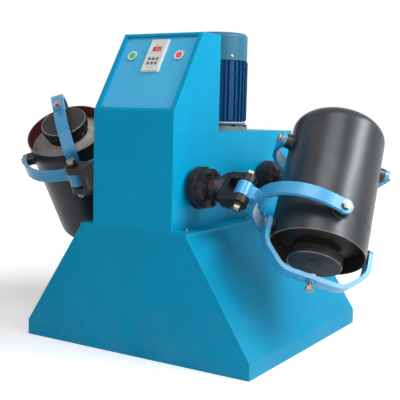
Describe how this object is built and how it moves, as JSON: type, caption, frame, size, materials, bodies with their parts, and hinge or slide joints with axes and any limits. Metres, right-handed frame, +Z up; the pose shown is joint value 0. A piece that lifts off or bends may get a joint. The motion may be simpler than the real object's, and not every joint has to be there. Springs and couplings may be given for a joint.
{
  "type": "three-dimensional motion mixer",
  "caption": "Free-standing powder mixer: closed drums at both sides are swung through space by forked shafts and yokes on a welded cabinet.",
  "frame": {"origin": "centre of the footprint on the floor", "axes": "+X across the machine towards the drum on the right, -Y towards the control panel side, +Z up"},
  "size_m": [1.2733, 0.765, 0.976],
  "materials": {
    "pedestal_paint": "semi-gloss enamel",
    "cabinet_paint": "semi-gloss enamel",
    "panel_paint": "semi-gloss enamel",
    "raw_steel": "machined",
    "bright_steel": "zinc plated",
    "chrome_trim": "polished",
    "green_plastic": "glossy",
    "red_plastic": "glossy",
    "cream_plastic": "satin",
    "display_lens": "glossy",
    "key_plastic": "satin",
    "gearbox_iron": "cast",
    "wheel_bronze": "machined",
    "motor_iron": "cast",
    "motor_paint": "enamel",
    "cowl_paint": "enamel",
    "fan_plastic": "moulded",
    "black_steel": "oiled black steel",
    "yoke_paint": "semi-gloss enamel",
    "drum_steel": "glossy black",
    "mouth_steel": "satin grey",
    "lid_steel": "satin black",
    "gasket_rubber": "matt"
  },
  "bodies": {
    "frame": {"pedestal": "pedestal_paint", "floor_plate": "raw_steel", "front_foot_plate": "pedestal_paint", "rear_foot_plate": "pedestal_paint", "foot_plate_bolts": "bright_steel", "cabinet": "cabinet_paint", "control_panel": "panel_paint", "panel_screws": "bright_steel", "start_bezel": "chrome_trim", "stop_bezel": "chrome_trim", "speed_controller": "cream_plastic", "display_window": "display_lens", "controller_keys": "key_plastic", "gearbox_housing": "gearbox_iron", "motor_flange": "motor_iron", "motor_housing": "motor_paint", "motor_terminal_box": "motor_paint", "motor_fan_cover": "cowl_paint", "front_bearing_right": "black_steel", "rear_bearing_right": "black_steel", "front_bearing_left": "black_steel", "rear_bearing_left": "black_steel"},
    "start_button": {"start_button": "green_plastic"},
    "stop_button": {"stop_button": "red_plastic"},
    "motor_shaft": {"motor_rotor": "raw_steel", "cooling_fan": "fan_plastic", "worm": "raw_steel"},
    "drive_shaft": {"drive_shaft": "raw_steel", "worm_wheel": "wheel_bronze", "rear_fork_right": "black_steel", "rear_cross_pin_right": "bright_steel", "rear_fork_left": "black_steel", "rear_cross_pin_left": "bright_steel"},
    "idle_shaft_right": {"idle_shaft_right": "raw_steel", "front_fork_right": "black_steel", "front_cross_pin_right": "bright_steel"},
    "rear_yoke_right": {"rear_yoke_right": "yoke_paint"},
    "front_yoke_right": {"front_yoke_right": "yoke_paint"},
    "drum_right": {"drum_right": "drum_steel", "drum_mouth_right": "mouth_steel", "drum_bolts_right": "bright_steel", "bail_pins_right": "bright_steel"},
    "lid_right": {"lid_right": "lid_steel", "lid_gasket_right": "gasket_rubber"},
    "bail_right": {"bail_right": "yoke_paint"},
    "clamp_screw_right": {"clamp_screw_right": "bright_steel"},
    "idle_shaft_left": {"idle_shaft_left": "raw_steel", "front_fork_left": "black_steel", "front_cross_pin_left": "bright_steel"},
    "rear_yoke_left": {"rear_yoke_left": "yoke_paint"},
    "front_yoke_left": {"front_yoke_left": "yoke_paint"},
    "drum_left": {"drum_left": "drum_steel", "drum_mouth_left": "mouth_steel", "drum_bolts_left": "bright_steel", "bail_pins_left": "bright_steel"},
    "lid_left": {"lid_left": "lid_steel", "lid_gasket_left": "gasket_rubber"},
    "bail_left": {"bail_left": "yoke_paint"},
    "clamp_screw_left": {"clamp_screw_left": "bright_steel"}
  },
  "joints": [
    {"name": "drive_shaft_turn", "type": "hinge", "parent": "frame", "child": "drive_shaft", "pos_m": [0, 0.15735, 0.5], "axis": [1, 0, 0], "range_deg": [-6, 6]},
    {"name": "motor_shaft_turn", "type": "hinge", "parent": "frame", "child": "motor_shaft", "pos_m": [0, 0.09425, 0.8], "axis": [0, 0, 1], "range_deg": [-181.2, 181.2]},
    {"name": "rear_yoke_right_swing", "type": "hinge", "parent": "drive_shaft", "child": "rear_yoke_right", "pos_m": [0.303, 0.15735, 0.5], "axis": [0, 0.4907, 0.8713], "range_deg": [-3.8, 3.8]},
    {"name": "drum_right_swing", "type": "hinge", "parent": "rear_yoke_right", "child": "drum_right", "pos_m": [0.46377, -0.00373, 0.59072], "axis": [-0.7546, -0.5718, 0.322], "range_deg": [-10.26, 10.26]},
    {"name": "front_yoke_right_swing", "type": "hinge", "parent": "drum_right", "child": "front_yoke_right", "pos_m": [0.48968, -0.14835, 0.39466], "axis": [-0.6476, 0.5698, -0.5059], "range_deg": [-7.82, 7.82]},
    {"name": "idle_shaft_right_turn", "type": "hinge", "parent": "frame", "child": "idle_shaft_right", "pos_m": [0.303, -0.267, 0.5], "axis": [1, 0, 0], "range_deg": [-6.7, 6.7]},
    {"name": "lid_right_lift", "type": "slide", "parent": "drum_right", "child": "lid_right", "axis": [0.1058, -0.5903, -0.8002], "range_m": [0, 0.02]},
    {"name": "bail_right_swing", "type": "hinge", "parent": "drum_right", "child": "bail_right", "pos_m": [0.49307, -0.16724, 0.36905], "axis": [0.7546, 0.5718, -0.322], "range_deg": [0, 55]},
    {"name": "clamp_screw_right_turn", "type": "hinge", "parent": "bail_right", "child": "clamp_screw_right", "pos_m": [0.50893, -0.25578, 0.24901], "axis": [0.1058, -0.5903, -0.8002], "continuous": true},
    {"name": "rear_yoke_left_swing", "type": "hinge", "parent": "drive_shaft", "child": "rear_yoke_left", "pos_m": [-0.303, 0.15735, 0.5], "axis": [0, -0.6851, 0.7285], "range_deg": [-4.43, 4.43]},
    {"name": "drum_left_swing", "type": "hinge", "parent": "rear_yoke_left", "child": "drum_left", "pos_m": [-0.49309, 0.04475, 0.39411], "axis": [-0.6309, 0.5652, 0.5315], "range_deg": [-6.1, 6.1]},
    {"name": "front_yoke_left_swing", "type": "hinge", "parent": "drum_left", "child": "front_yoke_left", "pos_m": [-0.46089, -0.10159, 0.58795], "axis": [-0.7647, -0.569, -0.3025], "range_deg": [-9.25, 9.25]},
    {"name": "idle_shaft_left_turn", "type": "hinge", "parent": "frame", "child": "idle_shaft_left", "pos_m": [-0.303, -0.267, 0.5], "axis": [1, 0, 0], "range_deg": [-4.83, 4.83]},
    {"name": "lid_left_lift", "type": "slide", "parent": "drum_left", "child": "lid_left", "axis": [0.1314, -0.5973, 0.7912], "range_m": [0, 0.02]},
    {"name": "bail_left_swing", "type": "hinge", "parent": "drum_left", "child": "bail_left", "pos_m": [-0.45668, -0.1207, 0.61327], "axis": [0.6309, -0.5652, -0.5315], "range_deg": [0, 55]},
    {"name": "clamp_screw_left_turn", "type": "hinge", "parent": "bail_left", "child": "clamp_screw_left", "pos_m": [-0.43697, -0.2103, 0.73195], "axis": [0.1314, -0.5973, 0.7912], "continuous": true},
    {"name": "start_button_press", "type": "slide", "parent": "frame", "child": "start_button", "axis": [0, 0.8434, -0.5372], "range_m": [0, 0.003], "stiffness_N_per_m": 900, "springref_m": -0.001},
    {"name": "stop_button_press", "type": "slide", "parent": "frame", "child": "stop_button", "axis": [0, 0.8434, -0.5372], "range_m": [0, 0.003], "stiffness_N_per_m": 900, "springref_m": -0.001}
  ],
  "couplings": [
    {"joint": "motor_shaft_turn", "follows": "drive_shaft_turn", "ratio": 30},
    {"joint": "rear_yoke_right_swing", "follows": "drive_shaft_turn", "ratio": -0.6277},
    {"joint": "drum_right_swing", "follows": "drive_shaft_turn", "ratio": 1.6937},
    {"joint": "front_yoke_right_swing", "follows": "drive_shaft_turn", "ratio": 1.2901},
    {"joint": "idle_shaft_right_turn", "follows": "drive_shaft_turn", "ratio": -1.1059},
    {"joint": "rear_yoke_left_swing", "follows": "drive_shaft_turn", "ratio": -0.7312},
    {"joint": "drum_left_swing", "follows": "drive_shaft_turn", "ratio": 1.006},
    {"joint": "front_yoke_left_swing", "follows": "drive_shaft_turn", "ratio": 1.5265},
    {"joint": "idle_shaft_left_turn", "follows": "drive_shaft_turn", "ratio": -0.7972}
  ]
}
